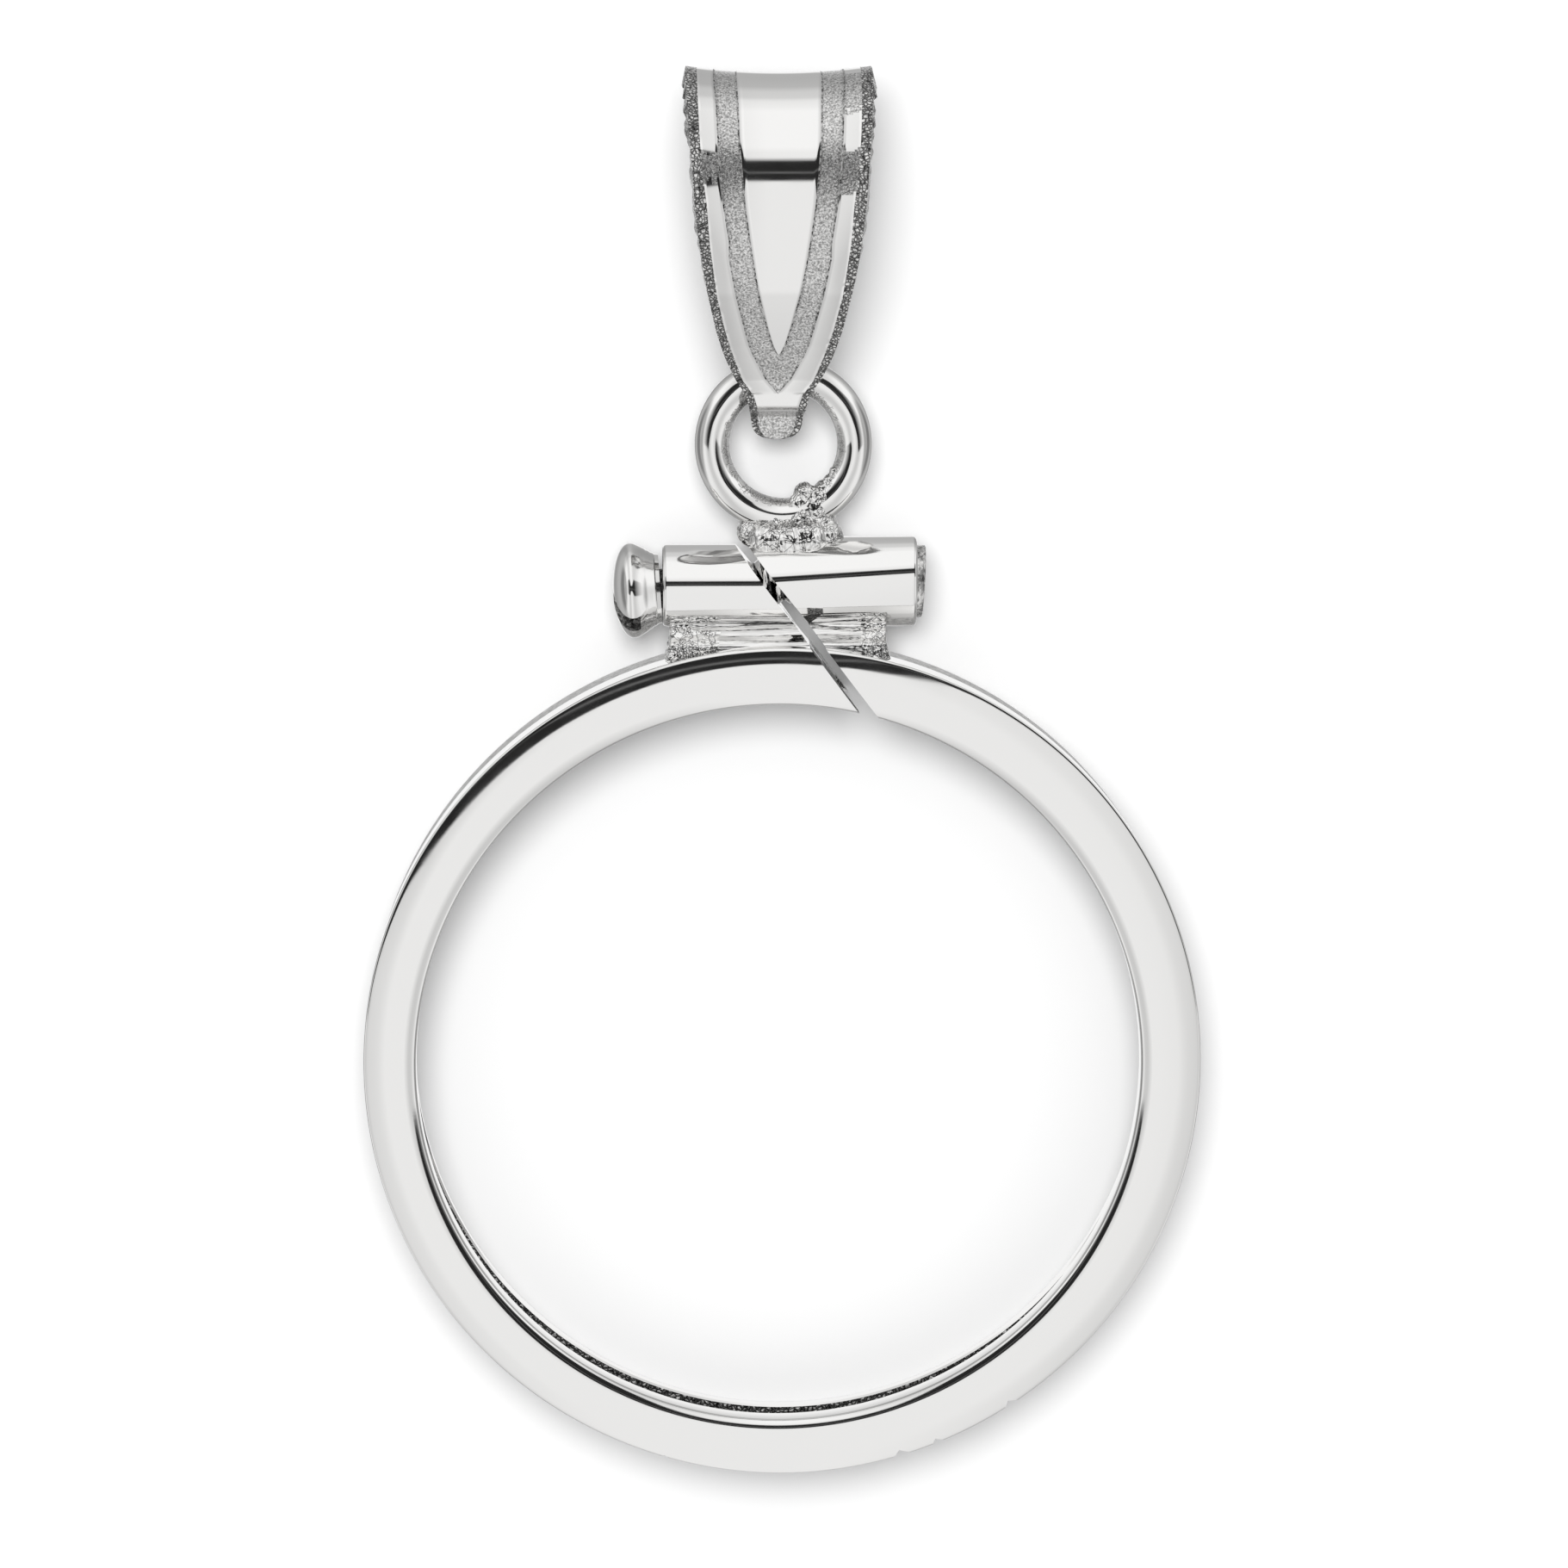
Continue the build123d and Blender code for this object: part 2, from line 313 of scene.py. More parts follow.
# %% Polished metal
def polished_metal(name, roughness=(0.04, 0.08), wave=0.0012, wave_size=1.6, scratch=0.00006):
    """Buffed bright, with the slow waves of hand polishing and hair-thin wipe marks."""
    material, tree, shader = start_material(name)
    here = object_place(tree)
    wiped = object_place(tree, stretch=(0.6, 14, 14), turn=0.6)
    tree.links.new(spread(tree, grain(tree, here, 0.7), *roughness), shader.inputs["Roughness"])
    waves = bump(tree, grain(tree, here, wave_size, detail=0.5), wave)
    marks = bump(tree, grain(tree, wiped, 1.0, detail=1.0), scratch, before=waves)
    tree.links.new(marks, shader.inputs["Normal"])
    return material


polished = polished_metal("polished_metal")
wire_polish = polished_metal("drawn_wire", roughness=(0.04, 0.10), wave=0.007, wave_size=0.5)
screw_polish = polished_metal(
    "screw_metal_polish", roughness=(0.06, 0.14), wave=0.003, wave_size=0.5, scratch=0.0004)

# %% [markdown]
# Sawn, cast and pressed faces are not polished. Noise in two sizes makes them uneven, and the colour
# is darkened in the pits as painted shade, for the light that the real metal traps there and a bump
# alone would let out.

# %% Rough finishes
# The numbers of a Map Range node's sockets when it maps a vector
VALUE, FROM_LOW, FROM_HIGH, TO_LOW, TO_HIGH = range(6, 11)


def paint_pit_shade(tree, shader, height, pits, tops, dark, light):
    """Painted shade in the pits: the colour times dark at pits or less, times light at tops or more."""
    shade = add_node(tree, "ShaderNodeMapRange", data_type="FLOAT_VECTOR")
    shade.inputs[FROM_LOW].default_value = (pits, pits, pits)
    shade.inputs[FROM_HIGH].default_value = (tops, tops, tops)
    shade.inputs[TO_LOW].default_value = [dark * part for part in METAL_WHITE[:3]]
    shade.inputs[TO_HIGH].default_value = [light * part for part in METAL_WHITE[:3]]
    tree.links.new(height, shade.inputs[VALUE])
    tree.links.new(shade.outputs["Vector"], shader.inputs["Base Color"])


def rough_metal(name, size, depth, roughness, dark, light=1.0, stretch=(1, 1, 1)):
    """A pitted or grainy finish: lumps of one size, a finer grain on them, and painted shade in the pits."""
    fine = 0.3
    material, tree, shader = start_material(name)
    here = object_place(tree, stretch)
    height = grain(tree, here, size, detail=3.0, roughness=0.6)
    paint_pit_shade(tree, shader, height, 0.36, 0.62, dark, light)
    lumps = bump(tree, height, depth)
    grit = bump(tree, grain(tree, here, size * fine), depth * fine, before=lumps)
    tree.links.new(grit, shader.inputs["Normal"])
    tree.links.new(spread(tree, grain(tree, here, size * 2), *roughness), shader.inputs["Roughness"])
    return material


# In each finish, dark is how far the painted shade darkens the colour in the pits.
sand_wall = rough_metal("sand_cast_wall", 0.09, 0.02, (0.30, 0.50), dark=0.55)
flowed_solder = rough_metal("flowed_solder", 0.10, 0.006, (0.05, 0.12), dark=0.70, stretch=(0.08, 1, 1))
sawn_end = rough_metal("sawn_end", 0.08, 0.03, (0.15, 0.30), dark=0.25, stretch=(1, 0.3, 1))
# The slot is darkened almost to black in its pits: painted shade in the recess.
sawn_slot_painted_shade = rough_metal("sawn_slot_painted_shade", 0.07, 0.02, (0.12, 0.25), dark=0.02, light=0.9)
# Painted shade: nearly black, for the gap between the screw's neck and the tube, where light can't reach.
gap_painted_shade = rough_metal("painted_shade_in_gap", 0.08, 0.04, (0.30, 0.50), dark=0.01, light=0.35)
# The satin bands are painted darker than the polish: painted shade for the light lost in their pits.
satin = rough_metal("satin_band", 0.042, 0.008, (0.08, 0.18), dark=0.28)
# The borders of the satin bands are painted near black in their pits: painted shade in the step at each
# border.
pitted_border_painted_shade = rough_metal("pitted_border_painted_shade", 0.07, 0.02, (0.25, 0.40), dark=0.0, light=0.85)
print("finishes so far", len(bpy.data.materials))

# %% [markdown]
# Solder and struck edges are packed grains with cracks between them, darkened with painted shade. A
# Voronoi texture's distance to the nearest edge gives both: a crack where it is small, and a hump where
# it is large.

# %% Packed grains
def grainy_metal(name, size, depth, roughness, crack, dark=0.0, light=1.0, merged=1.0):
    """Grains of one size. In patches they have merged into larger ones, about three times as wide."""
    material, tree, shader = start_material(name)
    here = object_place(tree)
    small = add_node(tree, "ShaderNodeTexVoronoi", feature="DISTANCE_TO_EDGE", Scale=1 / size)
    large = add_node(tree, "ShaderNodeTexVoronoi", feature="DISTANCE_TO_EDGE", Scale=0.3 / size)
    for cells in [small, large]:
        tree.links.new(here, cells.inputs["Vector"])
    patches = spread(tree, grain(tree, here, size * 5), 0.0, merged, start=0.50, end=0.56)
    kept = add_node(tree, "ShaderNodeMath", operation="ADD")
    tree.links.new(small.outputs["Distance"], kept.inputs[0])
    tree.links.new(patches, kept.inputs[1])
    edge = add_node(tree, "ShaderNodeMath", operation="MINIMUM")
    tree.links.new(kept.outputs[0], edge.inputs[0])
    tree.links.new(spread(tree, large.outputs["Distance"], 0.0, 3.3, start=0.0, end=1.0), edge.inputs[1])
    # Painted shade in the cracks: the colour there falls to dark times the white.
    paint_pit_shade(tree, shader, edge.outputs[0], 0.0, crack, dark, light)
    humps = bump(tree, spread(tree, edge.outputs[0], 0.0, 1.0, start=0.0, end=0.45), depth)
    grit = bump(tree, grain(tree, here, size * 0.8), depth * 0.8, before=humps)
    tree.links.new(grit, shader.inputs["Normal"])
    tree.links.new(spread(tree, grain(tree, here, size * 3), *roughness), shader.inputs["Roughness"])
    return material


# The groove under the front lip is painted dark, with black cracks: painted shade in the recess.
groove_with_painted_shade = grainy_metal("turned_groove_painted_shade", 0.10, 0.04, (0.25, 0.45), crack=0.24, light=0.8, merged=0.0)
solder_grain = grainy_metal("solder_grain", 0.085, 0.005, (0.05, 0.12), crack=0.09)
web_grain = grainy_metal("web_grain", 0.060, 0.005, (0.06, 0.14), crack=0.10, merged=0.5)
solder_wash = grainy_metal("solder_wash", 0.050, 0.003, (0.08, 0.16), crack=0.09, dark=0.25)
struck_edge = grainy_metal("struck_edge", 0.075, 0.020, (0.05, 0.15), crack=0.27, merged=0.0)
print("materials", [m.name for m in bpy.data.materials])

# %% [markdown]
# ## The ring
# The ring is turned as one section: a flat face that rolls off gently at its rims, where the
# polishing wheel dwells, a bright outer wall above a sand-cast one, and the coin's groove between
# a thick front lip and a thin back lip. The roll-off is what draws the black line in the photo, so
# it is made of true arcs and not of a single bevel.

# %% Ring section
ring_steps = 360
rim_round = 0.05
inner_rim_round = 0.10
wall_polish_foot = 0.25
wall_recess = 0.02
back_round = 0.12
back_lip_radius = 7.95
back_lip_round = 0.14
groove_edge = 0.04
lip_edge = 0.02
roll_steps = 5
outer_roll = [{"radius": 1.8, "turn": 6.5}, {"radius": 5.0, "turn": 8.8}, {"radius": 0.55, "turn": 14.0}]
inner_roll = [{"radius": 0.65, "turn": 20.0}]


def roll_off(roll, rim):
    """How the face falls away to its rim: (distance in from the rim, drop) pairs, rim first."""
    points = [(0.0, 0.0)]
    turn = 0.0
    for part in roll:
        for step in range(1, roll_steps + 1):
            angle = math.radians(turn + (part["turn"] - turn) * step / roll_steps)
            before = math.radians(turn + (part["turn"] - turn) * (step - 1) / roll_steps)
            run = part["radius"] * (math.sin(angle) - math.sin(before))
            drop = part["radius"] * (math.cos(before) - math.cos(angle))
            points.append((points[-1][0] + run, points[-1][1] + drop))
        turn = part["turn"]
    length = points[-1][0] + rim * (1 - math.sin(math.radians(turn)))
    rim_drop = points[-1][1] + rim * math.cos(math.radians(turn))
    rim_points = arc((length - rim, -rim_drop), rim, 90 - turn, 0, 7)[1:]
    shape = [(run, -drop) for run, drop in points] + rim_points
    return [(length - run, height) for run, height in reversed(shape)]


def ring_section():
    """The ring's section as (radius, height) points, from the inner rim of the face outwards."""
    inside = [(inner_radius + away, face_z + height)
              for away, height in roll_off(inner_roll, inner_rim_round)]
    outside = [(outer_radius - away, face_z + height) for away, height in roll_off(outer_roll, rim_round)]
    rough_radius = outer_radius - wall_recess
    return [
        *inside,
        *reversed(outside),
        (outer_radius, wall_polish_foot),
        (rough_radius, wall_polish_foot - wall_recess),
        (rough_radius, (wall_polish_foot + back_z) / 2),
        *arc((rough_radius - back_round, back_z + back_round), back_round, 0, -90, 5),
        *arc((back_lip_radius + back_lip_round, back_z + back_lip_round), back_lip_round, -90, -180, 6),
        (back_lip_radius, back_lip_top - groove_edge),
        (back_lip_radius + groove_edge, back_lip_top),
        (channel_radius, back_lip_top),
        (channel_radius, front_lip_foot),
        (inner_radius + lip_edge, front_lip_foot),
        (inner_radius, front_lip_foot + lip_edge),
    ]


ring = turn_section("ring_band", [(r, 0, z) for r, z in ring_section()], ring_steps, (0, 0, 1))
report(ring)

# %% [markdown]
# The slit slants across the ring, the web and the tube, and it is a little wider at its foot. One
# block with four corners makes it, and two more blocks, one on each side, part the two halves of
# the tube.

# %% Blocks of the slit
slit_top_y = jump_ring_y
slit_bottom_y = outer_radius - 1.98
past_faces = 1.0


def slit_corner(y, width, side):
    """A corner of the slit at a height y."""
    middle = slit_at_tube_axis + (tube_y - y) * math.tan(slit_tilt)
    return (middle + side * width / 2 / math.cos(slit_tilt), y)


def slit_block():
    """The slit itself."""
    corners = [slit_corner(slit_top_y, slit_top_width, -1), slit_corner(slit_top_y, slit_top_width, 1),
               slit_corner(slit_bottom_y, slit_bottom_width, 1),
               slit_corner(slit_bottom_y, slit_bottom_width, -1)]
    return make_block("slit_block", corners, back_z - past_faces, face_z + past_faces)


def side_block(side):
    """Everything on one side of the slit, the slit included: side is -1 for left and 1 for right."""
    top = slit_corner(slit_top_y, slit_top_width, -side)
    bottom = slit_corner(slit_bottom_y, slit_bottom_width, -side)
    reach = side * outer_radius
    corners = [top, bottom, (bottom[0] + reach, bottom[1]), (top[0] + reach, top[1])]
    return make_block("side_block", corners, back_z - past_faces, face_z + past_faces)


slit_foot = [slit_corner(slit_bottom_y, slit_bottom_width, side) for side in (-1, 1)]
print("foot of the slit at mm", [round(x, 2) for x, y in slit_foot])

# %% [markdown]
# A ring that is polished by hand isn't even: the wheel has taken more off its face at some places,
# and its inner edge is a little off centre. So the turned ring's points are moved a little, by a
# table of angles, before the slit is cut.

# %% Polish by hand, and the slit
roll_rows = [
    {"angle": 0, "share": 0.60}, {"angle": 20, "share": 0.50}, {"angle": 45, "share": 0.42},
    {"angle": 62, "share": 0.50}, {"angle": 74, "share": 0.80}, {"angle": 84, "share": 1.10},
    {"angle": 120, "share": 1.10}, {"angle": 150, "share": 0.95}, {"angle": 168, "share": 0.65},
    {"angle": 225, "share": 0.60}, {"angle": 270, "share": 0.35}, {"angle": 315, "share": 0.70},
    {"angle": 360, "share": 0.60},
]
roll_from_radius = 8.3
roll_depth = 0.3
inner_edge_to_radius = 8.1
inner_shift = Vector((-0.08, -0.03, 0))


def polish_by_hand(place):
    """The face's fall to its rim varies round the ring, and the inner edge is a little off centre."""
    radius = math.hypot(place.x, place.y)
    if radius > roll_from_radius and place.z > face_z - roll_depth:
        angle = math.degrees(math.atan2(place.y, place.x)) % 360
        after = next(row for row in roll_rows[1:] if angle <= row["angle"])
        before = roll_rows[roll_rows.index(after) - 1]
        share = (angle - before["angle"]) / (after["angle"] - before["angle"])
        amount = before["share"] + (after["share"] - before["share"]) * share
        return Vector((place.x, place.y, face_z - (face_z - place.z) * amount))
    if radius < inner_edge_to_radius and place.z > front_lip_foot - 0.01:
        return place + inner_shift
    return place


move_points(ring, polish_by_hand)
carve(ring, slit_block())
report(ring)

# %% [markdown]
# The ring has been used: its lower rim carries a few nicks. Each is a small three-sided bite, cut
# where the photo shows it. The bite is deepest at the face and runs out down the wall.

# %% Nicks in the lower rim
nicks = [
    {"angle": 253.5, "wide": 0.24, "deep": 0.050},
    {"angle": 286.5, "wide": 0.64, "deep": 0.165},
    {"angle": 291.8, "wide": 0.46, "deep": 0.140},
    {"angle": 303.2, "wide": 0.58, "deep": 0.165},
    {"angle": 335.0, "wide": 0.18, "deep": 0.040},
]
nick_reach = 0.8
nick_past = 0.2
steep_side = 0.6
for nick in nicks:
    a = math.radians(nick["angle"])
    outward = Vector((math.cos(a), math.sin(a)))
    along = Vector((-outward.y, outward.x))
    tip = outward * (outer_radius - nick["deep"])
    far = outward * (outer_radius + nick_past)
    half = nick["wide"] * (nick["deep"] + nick_past) / nick["deep"] / 2
    block = make_block("nick", [tip, far + along * half, far - along * half * steep_side],
                       face_z - nick_reach, face_z + nick_past)
    run_out = Vector((outward.x, outward.y, 0)) * (nick["deep"] + 0.02) / nick_reach
    move_points(block, lambda place: place + run_out * max(0.0, face_z - place.z))
    carve(ring, block)


def ring_finish(centre, normal):
    """0 polished, 1 sand-cast wall, 2 groove, darkened with painted shade."""
    radius = math.hypot(centre.x, centre.y)
    if back_lip_top - 0.01 < centre.z < front_lip_foot + 0.01 and radius < outer_radius - 0.3:
        return 2
    if radius > outer_radius - 0.1 and centre.z < wall_polish_foot:
        return 1
    return 0


finish_piece(ring, [polished, sand_wall, groove_with_painted_shade], ring_finish)

# %% [markdown]
# ## The tube
# The screw's tube is two halves, a slimmer one on the left and a stouter one on the right, each
# soldered to its own end of the ring. They are turned like the ring, but round the tube's own
# axis, with a rounded rim and the screw's bore. Each is turned too long, past the slit, and a block
# then cuts it back, so that both ends slant as the slit does.

# %% Tube halves
tube_steps = 128
tube_rim_round = 0.08
tube_row = 0.06
past_slit = 1.6


def tube_section(start, end, radius, round_start, round_end):
    """Half a tube wall's section as (x, height over the axis), closed round the bore."""
    rim_height = radius - tube_rim_round
    rows = int((end - start) / tube_row)
    return [
        (start, bore_radius),
        *(arc((start + tube_rim_round, rim_height), tube_rim_round, 180, 90, 12) if round_start
          else [(start, radius)]),
        *[(start + (end - start) * step / rows, radius) for step in range(2, rows - 1)],
        *(arc((end - tube_rim_round, rim_height), tube_rim_round, 90, 0, 12) if round_end
          else [(end, radius)]),
        (end, bore_radius),
    ]


def turn_on_tube_axis(name, section, axis_y=tube_y):
    """Spins a section of (x, height) points round the tube's axis."""
    points = [(x, axis_y + height, middle_z) for x, height in section]
    return turn_section(name, points, tube_steps, (1, 0, 0), centre=(0, axis_y, middle_z))


left_axis_y = tube_y - left_half_drop
left_section = tube_section(tube_left_end, past_slit, tube_left_radius, True, False)
right_section = tube_section(-past_slit, tube_right_end, tube_right_radius, False, True)
tube_left = turn_on_tube_axis("tube_left", left_section, left_axis_y)
carve(tube_left, side_block(1))
tube_right = turn_on_tube_axis("tube_right", right_section)
carve(tube_right, side_block(-1))
report(tube_left)
report(tube_right)

# %% [markdown]
# The halves were dressed with a file. Each stroke leaves a shallow flat, so the points that stand
# proud of it are brought down to it. The front of the right half was also dressed at a slant.

# %% Filed flats on the tube
LEFT = {"piece": tube_left, "radius": tube_left_radius, "axis_y": left_axis_y}
RIGHT = {"piece": tube_right, "radius": tube_right_radius, "axis_y": tube_y}
file_marks = [
    {**LEFT, "angle": 47, "x": -1.50, "half_length": 0.70, "depth": 0.012},
    {**LEFT, "angle": 58, "x": -1.45, "half_length": 0.60, "depth": 0.016},
    {**LEFT, "angle": 70, "x": -1.40, "half_length": 0.40, "depth": 0.012},
    {**RIGHT, "angle": 51, "x": 1.53, "half_length": 0.34, "depth": 0.020},
]
for mark in file_marks:
    a = math.radians(mark["angle"])
    facing = Vector((0, math.sin(a), math.cos(a)))

    def file_down(place):
        """Points that stand proud of the file's shallow stroke are brought down to it."""
        share = 1 - ((place.x - mark["x"]) / mark["half_length"]) ** 2
        height = (place - Vector((place.x, mark["axis_y"], middle_z))).dot(facing)
        excess = height - (mark["radius"] - mark["depth"] * share)
        return place - facing * excess if share > 0 and excess > 0 else place

    move_points(mark["piece"], file_down)


lean_start = -0.25
lean_reach = 0.20


def lean(place):
    """The front of the right half leans up towards its end, where it was dressed by eye."""
    share = max(0.0, (place.x - lean_start) / (tube_right_end - lean_start))
    front = max(0.0, place.z - middle_z) / tube_right_radius
    return place + Vector((0, lean_reach * share * front, 0))


def tube_finish(centre, normal):
    """0 polished, 1 painted shade on the left end face, at the gap beside the screw's head."""
    return 1 if normal.x < -0.9 else 0


move_points(tube_right, lean)
for piece in [tube_left, tube_right]:
    finish_piece(piece, [polished, gap_painted_shade], tube_finish, 9)

# %% [markdown]
# At the right end of the bore a thin sawn rim stands out, narrower than the tube. It is turned on the
# same axis, and leaned a little, because it was sawn by hand.

# %% End rim of the tube
rim_radius = 0.775
rim_length = 0.16
rim_inside = 0.1
rim_edge = 0.04
end_rim = turn_on_tube_axis("tube_end_rim", [
    (tube_right_end - rim_inside, bore_radius), (tube_right_end - rim_inside, rim_radius),
    *arc((tube_right_end + rim_length - rim_edge, rim_radius - rim_edge), rim_edge, 90, 0, 4),
    (tube_right_end + rim_length, bore_radius)])
end_rim_lean = 0.055
move_points(end_rim, lambda place: place + Vector(((place.y - tube_y) * end_rim_lean, 0, 0)))
finish_piece(end_rim, [sawn_end])

# %% [markdown]
# ## The jump ring and the solder
# The jump ring is a closed round wire, soldered to the tube. The solder is what an honest join
# looks like: a granular lump, with a finger of metal that has crept up the wire, and a thin wash of
# it along the wire's inner side. The lump is made of joined balls, which a voxel remesh turns into
# one skin, and noise pushes that skin about, because solder has no drawn outline.

# %% Jump ring
bpy.ops.object.select_all(action="DESELECT")
bpy.ops.mesh.primitive_torus_add(
    major_segments=160, minor_segments=48, major_radius=(jump_ring_radius - wire_radius) * MM,
    minor_radius=wire_radius * MM, location=Vector((jump_ring_x, jump_ring_y, middle_z)) * MM)
jump_ring = bpy.context.object
jump_ring.name = "jump_ring"
bpy.ops.object.transform_apply(location=True, rotation=True, scale=True)


wash_patch = 0.2
wash_stray = 0.3
wash_from = 0.60


def wire_finish(centre, normal):
    """0 drawn wire, 1 the thin wash of solder along the inside of the ring."""
    inward = Vector((jump_ring_x - centre.x, jump_ring_y - centre.y, 0)).normalized()
    stray = wash_stray * noise.noise(centre / wash_patch)
    return 1 if normal.dot(inward) + stray > wash_from else 0


finish_piece(jump_ring, [wire_polish, solder_wash], wire_finish)

# %% Solder lump
# (x, y, z, radius) of each bead
solder_beads = [
    (-0.62, 11.38, 0.10, 0.34),
    (-0.30, 11.22, 0.38, 0.42),
    (0.15, 11.20, 0.42, 0.46),
    (0.55, 11.25, 0.40, 0.45),
    (0.95, 11.28, 0.25, 0.38),
    (-0.10, 11.55, 0.15, 0.38),
    (0.45, 11.60, 0.20, 0.40),
    (0.85, 11.55, 0.15, 0.35),
    (0.72, 11.90, 0.20, 0.34),
    (0.50, 12.20, 0.22, 0.25),
    (0.62, 12.05, 0.12, 0.30),
    (0.36, 12.00, 0.26, 0.22),
    (0.84, 12.10, 0.26, 0.26),
    (0.86, 12.32, 0.28, 0.17),
    (1.02, 12.48, 0.28, 0.14),
    (1.13, 12.68, 0.27, 0.12),
]
solder_voxel = 0.03
bead_size = 0.15
bead_rise = 0.035
bead_middle = 0.55
grit_size = 0.05
grit_share = 0.25


def one_skin(piece, voxel):
    """Remeshes the piece as one closed skin of squares about this many mm wide."""
    take(piece)
    modifier = piece.modifiers.new("one_skin", "REMESH")
    modifier.mode = "VOXEL"
    modifier.voxel_size = voxel * MM
    bpy.ops.object.modifier_apply(modifier=modifier.name)


balls = []
for x, y, z, radius in solder_beads:
    bpy.ops.object.select_all(action="DESELECT")
    bpy.ops.mesh.primitive_ico_sphere_add(
        subdivisions=3, radius=radius * MM, location=Vector((x, y, z)) * MM)
    balls.append(bpy.context.object)
for ball in balls:
    ball.select_set(True)
bpy.context.view_layer.objects.active = balls[0]
bpy.ops.object.join()
solder = bpy.context.object
solder.name = "solder_lump"
bpy.ops.object.transform_apply(location=True, rotation=True, scale=True)
one_skin(solder, solder_voxel)
for point in solder.data.vertices:
    here = point.co / MM
    lump = bead_middle - noise.voronoi(here / bead_size)[0][0]
    grit = noise.noise(here / grit_size) * grit_share
    point.co += point.normal * (lump + grit) * bead_rise * MM
solder.data.update()
finish_piece(solder, [solder_grain], angle=50)

# %% [markdown]
# ## The web of solder
# Between ring and tube the solder has filled the gap in a low wall. It has crept forward over the
# ring's outer side, where the heat was, and thins in a hollow curve towards the underside of the
# tube, which stays clear. It ran smooth in the middle and stayed grainy towards the ends.

# %% Web
web_left = tube_left_end + 0.04
web_right = 2.36
web_half = 0.65
web_root_y = outer_radius - 0.40
web_top_y = tube_y - 0.5
cove_top_y = 9.43
cove_top_half = 0.33
cove_spread = 1.15
left_bulge, right_bulge = 0.12, -0.14
web_voxel = 0.035
streak_length, streak_height, streak_depth = 1.6, 0.11, 0.2
streak_rise = 0.025
web_bead_size = 0.13
web_bead_rise = 0.04
smooth_to_x = 1.3
beads_full_after = 0.5


def web_side(x, bulge):
    """One hollow end of the web, from root to tube."""
    return [(x + bulge * math.sin(math.pi * step / 6), web_root_y + (web_top_y - web_root_y) * step / 6)
            for step in range(7)]


def thin_to_tube(place):
    """Molten metal clings to the ring: the web's half thickness shrinks in a hollow to the tube."""
    below = max(0.0, cove_top_y - max(place.y, outer_radius))
    half = cove_top_half + cove_spread * below ** 1.5
    return Vector((place.x, place.y, middle_z + (place.z - middle_z) * half / web_half))


web_outline = [*web_side(web_left, left_bulge), *reversed(web_side(web_right, right_bulge))]
web = make_block("web_solder", web_outline, middle_z - web_half, middle_z + web_half)
one_skin(web, web_voxel)
move_points(web, thin_to_tube)
for point in web.data.vertices:
    here = point.co / MM
    beaded = clamp((abs(here.x) - smooth_to_x) / beads_full_after)
    bead = (0.5 - noise.voronoi(here / web_bead_size)[0][0]) * web_bead_rise * beaded
    streak = noise.noise(Vector((here.x / streak_length, here.y / streak_height, here.z / streak_depth)))
    point.co += point.normal * (bead + streak * streak_rise) * MM
web.data.update()
carve(web, slit_block())
left_grain = {"x": -1.35, "y": 9.27, "slope": 0.10}
right_grain = {"x": 1.62, "y": 9.44, "slope": 0.30}


def web_finish(centre, normal):
    """0 grainy, 1 flowed smooth. The grains keep to the foot of the left end and to the right end."""
    stray = 0.10 * noise.noise(centre / 0.15)
    left_end = centre.x + stray < left_grain["x"] and centre.y + stray < (
        left_grain["y"] + left_grain["slope"] * (left_grain["x"] - centre.x))
    right_end = centre.x + stray > right_grain["x"] - right_grain["slope"] * (centre.y - right_grain["y"])
    return 0 if left_end or right_end else 1


finish_piece(web, [web_grain, flowed_solder], web_finish, 50)

# %% [markdown]
# ## The clamp screw
# The screw is turned on a lathe: a low dome with a slot, a cone below it, whose shallow rings the
# tool left, and a threaded shank. The head is a spun section and the slot a block. The thread is a
# real helix: a three-sided tooth carried along by the Screw modifier, so that it looks right when
# the screw is undone.

# %% Screw
thread_radius = 0.50
thread_depth = 0.08
thread_pitch = 0.25
shank_length = 5.20
shank_neck = 0.30
screw_tilt = math.radians(3.5)
head_gap = 0.08
head_radius = 1.025
head_small_radius = 0.75
head_cone_length = 0.50
head_rim_length = 0.08
head_dome_height = 0.41
slot_width = 0.40
slot_depth = 0.56
slot_turn = math.radians(-49.0)
neck_reach = 0.03

along = (slit_at_tube_axis - tube_left_end) / math.cos(screw_tilt) + head_gap
seat = Vector((slit_at_tube_axis - along * math.cos(screw_tilt),
               tube_y - along * math.sin(screw_tilt), middle_z))
root_radius = thread_radius - thread_depth
shoulder_x = -head_cone_length - head_rim_length
cone_rings = [(-0.28, 0.90), (-0.235, 0.86), (-0.19, 0.845), (-0.145, 0.805), (-0.10, 0.79), (-0.055, 0.755)]
dome = [(shoulder_x + head_dome_height * x, head_radius * h) for x, h in arc((0, 0), 1.0, 180, 90, 24)]
screw_section = [
    *dome,
    (-head_cone_length, head_radius - 0.01),
    *cone_rings,
    (neck_reach, head_small_radius - 0.01),
    (neck_reach, root_radius),
    (shank_length - thread_depth, root_radius),
    (shank_length, root_radius - thread_depth),
    (shank_length, 0),
]
screw = turn_section("clamp_screw_head", [(x, h, 0) for x, h in screw_section], 96, (1, 0, 0))
bpy.ops.object.select_all(action="DESELECT")
bpy.ops.mesh.primitive_cube_add(size=1)
slot_cutter = bpy.context.object
slot_cutter.data.transform(
    Matrix.Rotation(slot_turn, 4, "X")
    @ Matrix.Translation(Vector((shoulder_x - head_dome_height, 0, 0)) * MM)
    @ Matrix.Diagonal((2 * slot_depth * MM, 4 * head_radius * MM, slot_width * MM, 1)))
carve(screw, slot_cutter)
tidy_mesh(screw)
